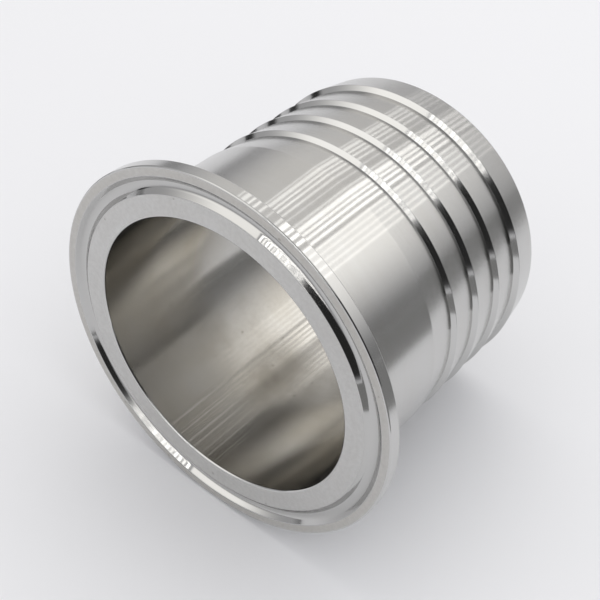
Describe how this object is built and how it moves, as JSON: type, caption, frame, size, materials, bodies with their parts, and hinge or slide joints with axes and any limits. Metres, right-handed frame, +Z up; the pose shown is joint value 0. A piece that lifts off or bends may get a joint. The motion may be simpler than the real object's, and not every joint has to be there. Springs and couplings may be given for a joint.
{
  "type": "hose adapter with clamp ferrule",
  "caption": "Turned stainless adapter: a grooved clamp ferrule at one end, a stepped hose shank at the other, and a smooth straight bore through both.",
  "frame": {"origin": "on the bore axis, halfway between the clamp face and the hose end face", "axes": "+X along the bore axis, from the clamp face towards the hose end; +Z up, with the bore axis level"},
  "size_m": [0.0704, 0.091, 0.091],
  "materials": {
    "stainless_steel": "fine turned, semi-bright, with circular tool marks"
  },
  "bodies": {
    "root": {"hose_adapter_body": "stainless_steel"}
  },
  "joints": []
}
